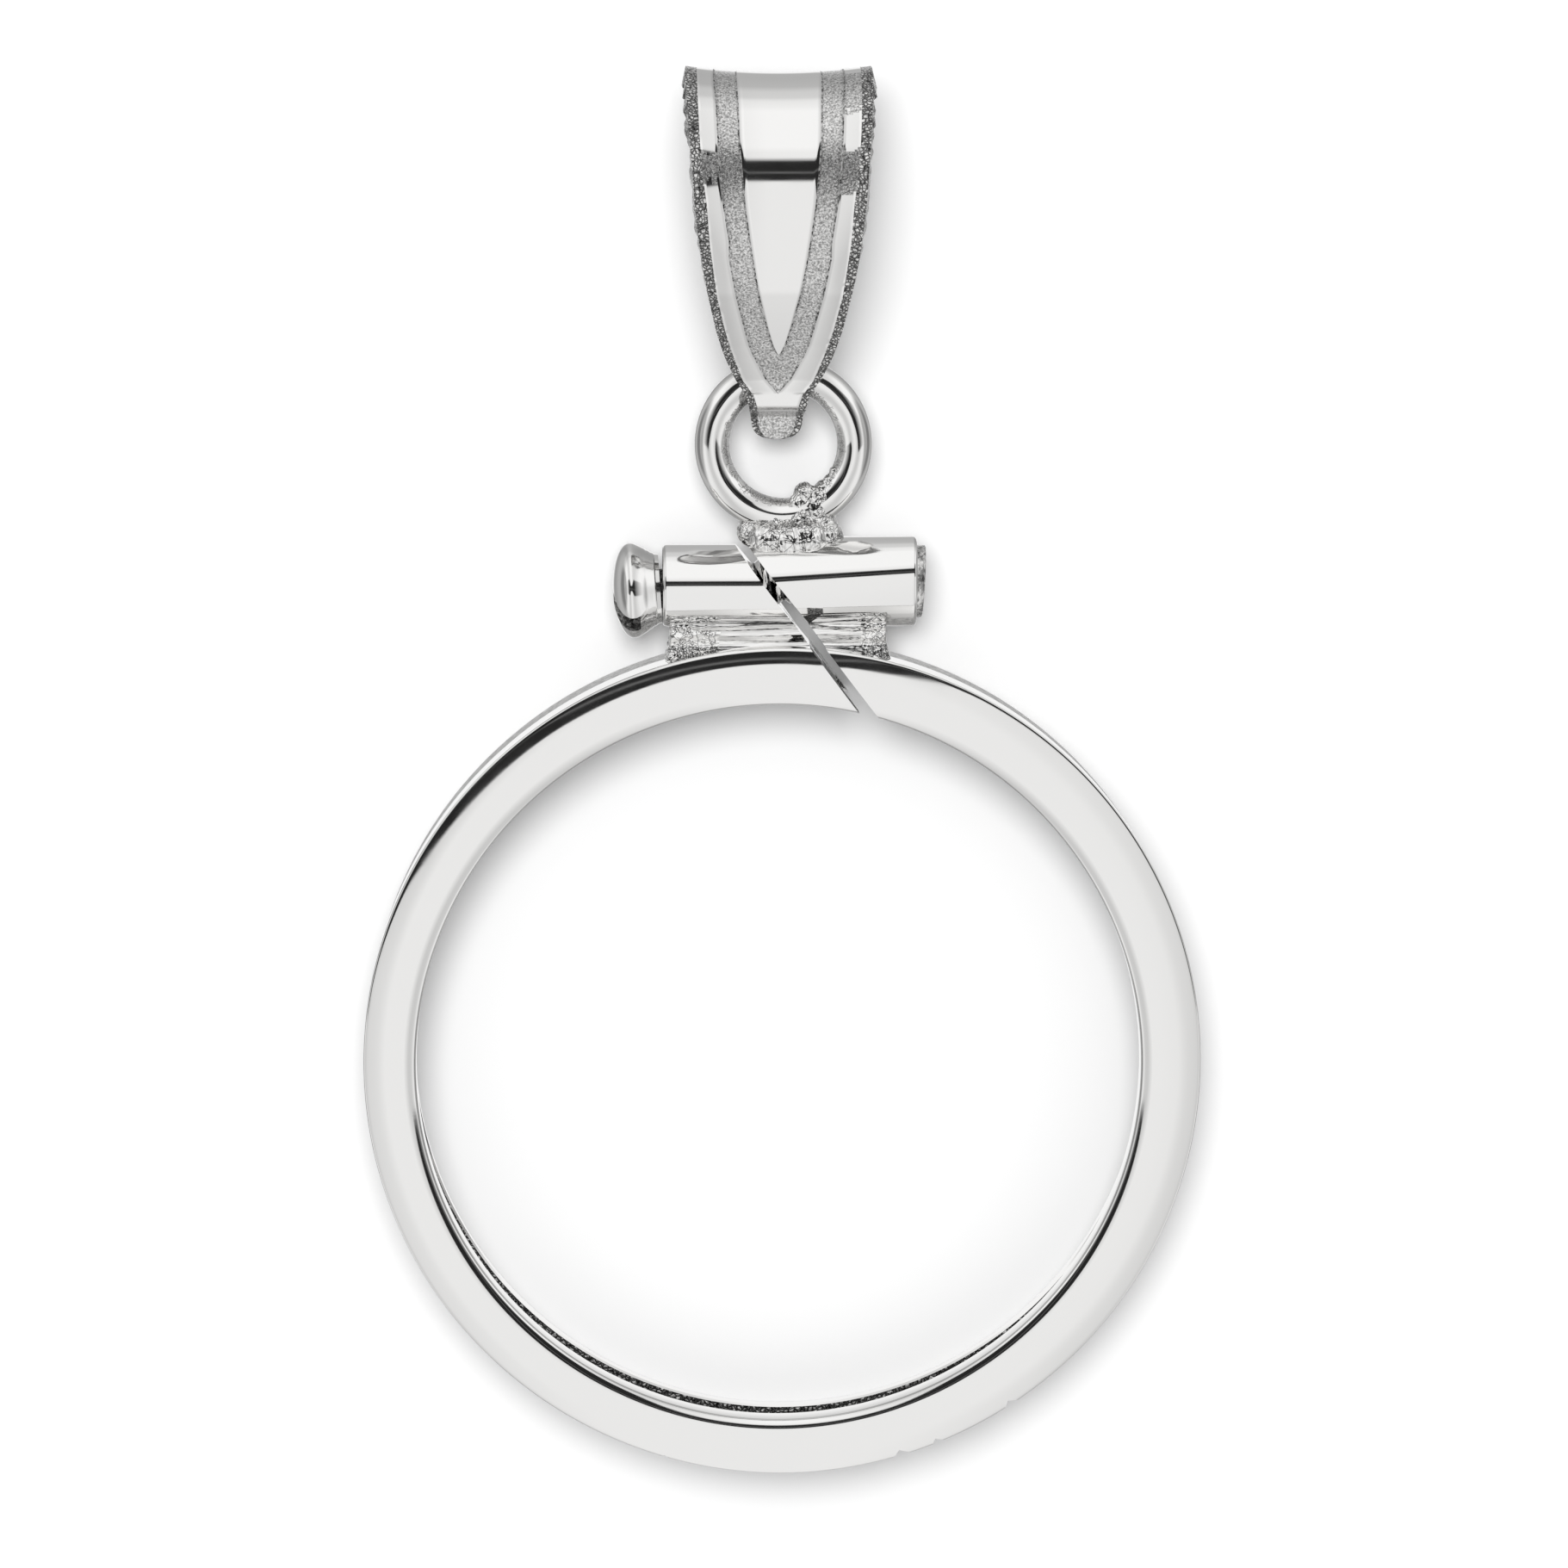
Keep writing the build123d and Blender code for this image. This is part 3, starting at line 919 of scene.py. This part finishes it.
slot_side = Vector((0, -math.sin(slot_turn), math.cos(slot_turn)))


def screw_finish(centre, normal):
    """0 polished, 1 the sawn slot, darkened with painted shade, 2 painted shade on the end of the neck at the
    gap and on the shank's root.
    """
    if centre.x > 0.0 and abs(centre.x - shank_length) > 0.2:
        return 2
    off_middle = abs(centre.dot(slot_side))
    at_wall = abs(off_middle - slot_width / 2) < 0.01 and abs(normal.dot(slot_side)) > 0.9
    at_floor = off_middle < slot_width / 2 and normal.x < -0.95 and centre.length > 0.1
    return 1 if at_wall or at_floor else 0


paint(screw, [screw_polish, sawn_slot_painted_shade, gap_painted_shade], screw_finish)
print("screw seat at mm", [round(v, 2) for v in seat])

# %% Thread
turns = int((shank_length - shank_neck - thread_pitch) / thread_pitch)
tooth_foot = root_radius - 0.02
tooth = [(shank_neck, tooth_foot, 0), (shank_neck + thread_pitch / 2, thread_radius, 0),
         (shank_neck + thread_pitch, tooth_foot, 0)]
thread = draw_line("screw_thread", [*tooth, tooth[0]])
tidy_mesh(thread)
take(thread)
modifier = thread.modifiers.new("helix", "SCREW")
modifier.axis = "X"
modifier.angle = 2 * math.pi
modifier.screw_offset = thread_pitch * MM
modifier.iterations = turns - 1
modifier.steps = 40
modifier.render_steps = 40
modifier.use_merge_vertices = False
bpy.ops.object.modifier_apply(modifier=modifier.name)
open_mesh(thread)
bpy.ops.mesh.select_all(action="DESELECT")
bpy.ops.mesh.select_non_manifold()
bpy.ops.mesh.fill_holes(sides=3)
close_mesh()
tidy_mesh(thread)
paint(thread, [screw_polish], all_over)
take(thread)
screw.select_set(True)
bpy.context.view_layer.objects.active = screw
bpy.ops.object.join()
screw.data.transform(Matrix.Translation(seat * MM) @ Matrix.Rotation(screw_tilt, 4, "Z"))
smooth(screw, 24)
report(screw)

# %% [markdown]
# ## The bail
# The bail is a leaf of strip, folded over the chain, whose tails are closed below the jump ring's
# wire. It starts as a flat grid. Each row of the grid is one place along the folded strip, and
# each column follows a border of its finish: the bright middle, the satin bands, the bright
# margins and the struck edge. Where the bands meet in a point, their columns meet too, so that
# merging the doubled points closes them cleanly.

# %% Side line of the bail
bail_x = -0.10
strip_wall = 0.35
half_wall = 0.19
bail_height = 6.65
belly_depth = 4.50
belly_radius = 3.60
leaf_foot = (1.29, 0.33)
bend_place = (1.09, -0.43)
shoulder_place = (0.40, -0.84)
tab_end_place = (0.36, -1.38)
rest_tilt = math.radians(17.73)

belly_middle = belly_depth / 2 - half_wall
half_leaves = {
    "front": {"fold": 1.822, "slope": 19.0, "crease": (1.21, -0.28), "sag": 0.01},
    "back": {"fold": 2.00, "slope": 17.0, "crease": (1.13, -0.28), "sag": 0.0},
}


def straight(start, end, steps, sag=0.0):
    """Points from start to end, the end left out, bowed out to the right of the way by sag."""
    run = Vector((end[0] - start[0], end[1] - start[1]))
    aside = Vector((run.y, -run.x)).normalized() * sag
    shares = [step / steps for step in range(steps)]
    return [tuple(Vector(start) + run * s + aside * 4 * s * (1 - s)) for s in shares]


def half_line(fold, slope, crease, sag):
    """The outside of half the leaf as (depth, height), from the tab's end to the top of the fold."""
    fold_height = bail_height - half_wall - fold
    drop = math.sqrt((belly_radius - fold) ** 2 - (belly_radius - belly_middle) ** 2)
    turn = math.degrees(math.atan2(drop, belly_radius - belly_middle))
    belly_centre = (belly_middle - belly_radius, fold_height - drop)
    belly = arc(belly_centre, belly_radius + half_wall, -slope, turn, 44)
    over = arc((0, fold_height), fold + half_wall, turn, 90, 48)
    return [*straight(tab_end_place, shoulder_place, 10), *straight(shoulder_place, bend_place, 9),
            *straight(bend_place, crease, 4), *straight(crease, leaf_foot, 12),
            *straight(leaf_foot, belly[0], 50, sag), *belly[:-1], *over]


back_line = half_line(**half_leaves["back"])[:-1]
side_line = half_line(**half_leaves["front"]) + [(-depth, height) for depth, height in reversed(back_line)]
print("rows along the strip", len(side_line))

# %% [markdown]
# Towards its foot the leaf narrows, and its bands with it. A table gives each band's half width at
# some heights, and between two rows a border runs straight.

# %% Widths of the bail's bands
BAND_PARTS = ("height", "edge", "margin", "satin", "middle")
band_rows = [dict(zip(BAND_PARTS, row)) for row in [
    (6.65, 1.965, 1.72, 1.385, 0.885),
    (6.43, 1.935, 1.71, 1.345, 0.86),
    (5.92, 1.895, 1.68, 1.315, 0.845),
    (5.31, 1.84, 1.63, 1.28, 0.79),
    (4.61, 1.785, 1.53, 1.20, 0.725),
    (3.87, 1.695, 1.475, 1.08, 0.62),
    (3.47, 1.64, 1.42, 1.075, 0.56),
    (2.61, 1.495, 1.31, 0.93, 0.425),
    (1.73, 1.325, 1.135, 0.74, 0.235),
    (1.29, 1.21, 1.02, 0.64, 0.12),
    (0.99, 1.12, 0.935, 0.535, 0.0),
    (0.39, 0.89, 0.745, 0.28, 0.0),
    (0.03, 0.685, 0.53, 0.0, 0.0),
    (-0.28, 0.61, 0.44, 0.0, 0.0),
    (-0.84, 0.56, 0.40, 0.0, 0.0),
    (-1.08, 0.53, 0.38, 0.0, 0.0),
    (-1.21, 0.47, 0.33, 0.0, 0.0),
    (-1.30, 0.38, 0.26, 0.0, 0.0),
    (-1.35, 0.27, 0.18, 0.0, 0.0),
    (-1.38, 0.12, 0.08, 0.0, 0.0),
]]


def band_width(name, height):
    """Half the width of a band at a height, from the table, with straight steps between its rows."""
    for upper, lower in zip(band_rows, band_rows[1:]):
        if height >= lower["height"]:
            share = clamp((upper["height"] - height) / (upper["height"] - lower["height"]))
            return upper[name] + (lower[name] - upper[name]) * share
    return band_rows[-1][name]


print("half the bail's width in mm", [round(band_width("edge", height), 2) for height in (6, 3, 0, -1)])

# %% [markdown]
# The satin bands were pressed in, so they lie a little below the polish, with a step at each border.
# The front's bright margins rise to the struck edge, and the punch has pushed the edge itself about.
# So each column of the grid is set at its own depth, and the strip gets its wall at the end.

# %% Columns of the bail
bail_dish = 0.14
half_top = 1.97
satin_recess = 0.020
border_width = 0.035
edge_roughness = 0.016
edge_lump = 0.16
margin_rise = 0.045
margin_rise_top = 4.9
margin_rise_fade = 2.0
POLISHED, SATIN, BORDER, EDGE = range(4)
# How many columns each band takes, from the centre outwards, and its finish
band_plan = [(8, POLISHED), (1, BORDER), (7, SATIN), (1, BORDER), (6, POLISHED), (6, EDGE)]
satin_from_column = sum(count for count, finish in band_plan[:2])
edge_from_column = sum(count for count, finish in band_plan[:5])


def sunk_at(x, middle, satin_end):
    """How deep the satin band lies below the polished skin: a step down at each of its borders."""
    if not middle - 0.001 <= x <= satin_end or satin_end < 0.001:
        return 0.0
    from_middle = (x - middle) / border_width if middle > border_width else 1.0
    from_end = (satin_end - x) / border_width
    return satin_recess * clamp(min(from_middle, from_end))


def half_columns(height):
    """(distance from the centre, depth below the skin, finish) for the right half of a row."""
    middle, satin_end = band_width("middle", height), band_width("satin", height)
    margin, edge = band_width("margin", height), band_width("edge", height)
    border = min(border_width, (satin_end - middle) / 4)
    inner_border = min(border, middle)
    ends = [middle, middle + inner_border, satin_end - border, satin_end, margin, edge]
    columns = [(0.0, sunk_at(0.0, middle, satin_end), POLISHED)]
    inner = 0.0
    for outer, (count, finish) in zip(ends, band_plan):
        for step in range(1, count + 1):
            x = inner + (outer - inner) * step / count
            columns.append((x, sunk_at(x, middle, satin_end), finish))
        inner = outer
    return columns


strayed_satin = [
    {"height": 5.35, "reach": 0.26, "right": False},
    {"height": 6.60, "reach": 0.34, "right": True},
    {"height": 5.22, "reach": 0.40, "right": True},
]
half_count = len(half_columns(0.0)) - 1
columns_across = 2 * half_count + 1
print("columns across the strip", columns_across)
bpy.ops.object.select_all(action="DESELECT")
bpy.ops.mesh.primitive_grid_add(x_subdivisions=columns_across - 1, y_subdivisions=len(side_line) - 1, size=1)
bail = bpy.context.object
bail.name = "bail_leaf"
bpy.ops.object.transform_apply(location=True, rotation=True, scale=True)


def line_normal(row):
    """The outward direction of the side line at a row, as (depth, height)."""
    before = side_line[max(0, row - 1)]
    after = side_line[min(len(side_line) - 1, row + 1)]
    along = Vector((after[0] - before[0], after[1] - before[1])).normalized()
    return Vector((along.y, -along.x))


def struck(x, row, finish):
    """How the punch has pushed the metal of the edge about, in mm."""
    if finish != EDGE or side_line[row][1] < shoulder_place[1]:
        return 0.0
    depth, height = side_line[row]
    return edge_roughness * (noise.noise(Vector((x, height, depth)) / edge_lump) - 0.6)


def margin_lift(x, row):
    """The front's bright margins are hollow: they rise towards the struck edge."""
    height = side_line[row][1]
    if row > len(side_line) / 2 or height < 0.03:
        return 0.0
    inner, outer = band_width("satin", height), band_width("margin", height)
    share = clamp((abs(x) - inner) / (outer - inner))
    fade = clamp((margin_rise_top - height) / margin_rise_fade)
    return margin_rise * share ** 1.5 * fade * fade * (3 - 2 * fade)


for row, (depth, height) in enumerate(side_line):
    normal = line_normal(row)
    half = half_columns(height)
    across = [(-x, sunk, finish) for x, sunk, finish in reversed(half[1:])] + half
    for column, (x, sunk, finish) in enumerate(across):
        lift = bail_dish * (x / half_top) ** 2 - sunk + struck(x, row, finish) + margin_lift(x, row)
        point = bail.data.vertices[row * columns_across + column]
        point.co = Vector((x, height + normal.y * lift, depth + normal.x * lift)) * MM

# %% Finishes of the bail, and its wall
stray_patch = 0.12
stray_amount = 0.4
paint(bail, [polished, satin, pitted_border_painted_shade, struck_edge], all_over)
finishes = [finish for x, sunk, finish in half_columns(0.0)][1:]
finishes = finishes[::-1] + finishes
for index, face in enumerate(bail.data.polygons):
    row, column = divmod(index, columns_across - 1)
    height = side_line[row][1]
    right_side = column >= half_count
    from_centre = abs(column - half_count + 0.5)
    finish = finishes[column]
    patchy = stray_amount * noise.noise(face.center / MM / stray_patch)
    strayed = any(abs(height - patch["height"]) / patch["reach"] < 1 + patchy
                  for patch in strayed_satin if patch["right"] == right_side)
    if finish == POLISHED and from_centre > satin_from_column and strayed and row < len(side_line) / 2:
        finish = SATIN
    if height < bend_place[1] - 0.01:
        past = from_centre - edge_from_column
        finish = SATIN if past < 0 else BORDER if past < 1 else EDGE
    face.material_index = finish
bail.data.transform(
    Matrix.Translation(Vector((bail_x, hinge_y, middle_z)) * MM) @ Matrix.Rotation(rest_tilt, 4, "X"))
open_mesh(bail)
bpy.ops.mesh.remove_doubles(threshold=same_place * MM)
close_mesh()
take(bail)
modifier = bail.modifiers.new("wall", "SOLIDIFY")
modifier.thickness = strip_wall * MM
modifier.offset = -1
bpy.ops.object.modifier_apply(modifier=modifier.name)
smooth(bail, 35)
report(bail)

# %% [markdown]
# ## Which piece rides on which body
# The pieces that are soldered together ride on the frame. The screw and the bail ride on their own
# bodies, and each stands for the plain solid that it dresses.

# %% Ride and replace
for piece in [ring, tube_left, tube_right, end_rim, jump_ring, solder, web]:
    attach(piece, "frame")
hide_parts("bezel_frame")
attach(screw, "screw")
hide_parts("clamp_screw")
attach(bail, "bail")
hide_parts("bail")

# %% [markdown]
# ## Camera and floor
# The camera stands well back, as for a picture of goods, a little towards the pendant's top and
# left, and its field is just the photo's frame. The floor is the pale surface that the pendant lies
# on. Reflections don't see it, because the room's own foot stands for it there.

# %% Camera
PHOTO_SIDE = 1821
PIXELS_PER_MM = 53.9
camera_distance = 145.0
camera_tilt_up = math.radians(7.9)
camera_tilt_left = math.radians(1.4)
look_at = Vector((0.056, 5.913, middle_z))
back = Vector((-math.sin(camera_tilt_left), math.sin(camera_tilt_up), 0))
back.z = math.sqrt(1 - back.x ** 2 - back.y ** 2)
camera_place = look_at + back * camera_distance
view_width = PHOTO_SIDE / PIXELS_PER_MM
camera_data = bpy.data.cameras.new("camera")
camera_data.sensor_width = 36
camera_data.angle = 2 * math.atan(view_width / 2 / camera_distance)
camera_data.clip_start = 0.005
camera_data.clip_end = 5
camera = bpy.data.objects.new("camera", camera_data)
bpy.context.scene.collection.objects.link(camera)
right = Vector((0, 1, 0)).cross(back).normalized()
camera.matrix_world = Matrix.Translation(camera_place * MM) @ Matrix(
    (right, back.cross(right), back)).transposed().to_4x4()
bpy.context.scene.camera = camera
print("camera at mm", [round(v, 1) for v in camera_place], "field", round(math.degrees(camera_data.angle), 2))

# %% Floor
bpy.ops.object.select_all(action="DESELECT")
bpy.ops.mesh.primitive_plane_add(size=2.0, location=(0, 0, back_z * MM))
floor = bpy.context.object
floor.name = "floor"
floor_material, tree, shader = start_material("pale_floor", (0.85, 0.85, 0.85, 1))
shader.inputs["Metallic"].default_value = 0.0
shader.inputs["Roughness"].default_value = 1.0
shader.inputs["Specular IOR Level"].default_value = 0.0
floor.data.materials.append(floor_material)
floor.visible_glossy = False
print("floor at z in mm", round(back_z, 2))

# %% [markdown]
# ## The room
# Bright metal shows its room. The room is a white tent with an opening for the lens. So the world is
# nearly white in front of the pendant and brightest towards its top, and grey far to the sides and
# under its horizon. The opening is a dark band across it, with a thin pale line in it: it draws the
# black line along the tube and round the ring's rim. Straight down the world is white again,
# because upright walls mirror the pale floor at their foot.

# %% World
world = bpy.data.worlds.new("tent")
bpy.context.scene.world = world
world.use_nodes = True
tree = world.node_tree
background = tree.nodes["Background"]
background.inputs["Color"].default_value = (1, 1, 1, 1)
direction = add_node(tree, "ShaderNodeTexCoord")
parts = add_node(tree, "ShaderNodeSeparateXYZ")
tree.links.new(direction.outputs["Generated"], parts.inputs[0])


def calculate(operation, first, second=None):
    """A Math node over outputs or numbers."""
    node = add_node(tree, "ShaderNodeMath", operation=operation)
    for socket, value in zip(node.inputs, (first, second)):
        if value is None:
            continue
        if isinstance(value, (int, float)):
            socket.default_value = value
        else:
            tree.links.new(value, socket)
    return node.outputs[0]


def angle_to(axis):
    """How far a direction turns from straight ahead towards an axis, in degrees."""
    return calculate("MULTIPLY", calculate("ARCTAN2", parts.outputs[axis], parts.outputs["Z"]), 180 / math.pi)


rise, swing = angle_to("Y"), angle_to("X")
tent_rows = [
    {"rise": -180, "light": 0.46}, {"rise": -100, "light": 0.48}, {"rise": -92, "light": 0.55},
    {"rise": -85, "light": 0.62}, {"rise": -78, "light": 0.72}, {"rise": -71, "light": 0.867},
    {"rise": 3, "light": 0.876}, {"rise": 22, "light": 0.90}, {"rise": 28, "light": 0.98},
    {"rise": 75, "light": 0.98}, {"rise": 81, "light": 0.92}, {"rise": 91, "light": 0.85},
    {"rise": 97, "light": 0.68}, {"rise": 108, "light": 0.65}, {"rise": 118, "light": 0.50},
    {"rise": 140, "light": 0.46}, {"rise": 180, "light": 0.46},
]
walls = add_node(tree, "ShaderNodeValToRGB")
ramp = walls.color_ramp
for number, row in enumerate(tent_rows):
    place = (row["rise"] + 180) / 360
    stop = ramp.elements[number] if number < 2 else ramp.elements.new(place)
    stop.position = place
    stop.color = (row["light"], row["light"], row["light"], 1)
tree.links.new(calculate("DIVIDE", calculate("ADD", rise, 180.0), 360.0), walls.inputs["Fac"])

# The dark opening, in degrees. From 8 degrees off the middle it opens wider, to both sides.
away = calculate("ABSOLUTE", swing)
wider = calculate("MINIMUM", calculate("MAXIMUM", calculate("SUBTRACT", away, 8.0), 0.0), 16.0)
below_top = calculate("SUBTRACT", calculate("ADD", wider, 18.5), rise)
over_foot = calculate("SUBTRACT", rise, calculate("SUBTRACT", 3.0, calculate("MULTIPLY", wider, 0.7)))
dark = calculate("MULTIPLY", spread(tree, over_foot, 0.0, 1.0, start=0.0, end=1.5),
                 spread(tree, below_top, 0.0, 1.0, start=0.0, end=2.5))
dark = calculate("MULTIPLY", dark, spread(tree, away, 1.0, 0.0, start=30.0, end=60.0))
from_line = calculate("ABSOLUTE", calculate("SUBTRACT", rise, 9.0))
pale_line = spread(tree, from_line, 0.14, 0.02, start=0.2, end=0.9)

# The grey beside the lens and far to the sides, and the white at the foot.
sideways = calculate("ABSOLUTE", parts.outputs["X"])
shade_beside = calculate("MULTIPLY", spread(tree, sideways, 0.0, 0.28, start=0.06, end=0.34),
                         spread(tree, sideways, 1.0, 0.0, start=0.50, end=0.72))
far_aside = spread(tree, sideways, 1.0, 0.45, start=0.84, end=0.93)
at_foot = spread(tree, parts.outputs["Z"], 1.0, 0.0, start=-0.97, end=-0.90)
lit = calculate("MULTIPLY", walls.outputs["Color"], calculate("SUBTRACT", 1.0, dark))
lit = calculate("MULTIPLY", lit, calculate("SUBTRACT", 1.0, shade_beside))
lit = calculate("MAXIMUM", calculate("MULTIPLY", lit, far_aside), calculate("MULTIPLY", at_foot, 0.94))
tree.links.new(calculate("ADD", lit, calculate("MULTIPLY", pale_line, dark)), background.inputs["Strength"])
print("tent of", len(tent_rows), "lights")

# %% [markdown]
# One soft disk of light in front of the pendant, a little towards its top, brightens the floor and
# casts the soft shadow beside the lower rim. The tent is what the metal mirrors, so the disk isn't
# seen in reflections.

# %% Soft key light
key_data = bpy.data.lights.new("key", "AREA")
key_data.shape = "DISK"
key_data.size = 0.12
key_data.energy = 0.48
key = bpy.data.objects.new("key", key_data)
bpy.context.scene.collection.objects.link(key)
key_from = Vector((-0.08, 0.30, 1.0)).normalized()
key_distance = 250
key.location = key_from * key_distance * MM
key.rotation_euler = key_from.to_track_quat("Z", "Y").to_euler()
key.visible_glossy = False
print("key light at mm", [round(v) for v in key.location / MM])
bpy.context.scene.view_settings.view_transform = "Standard"
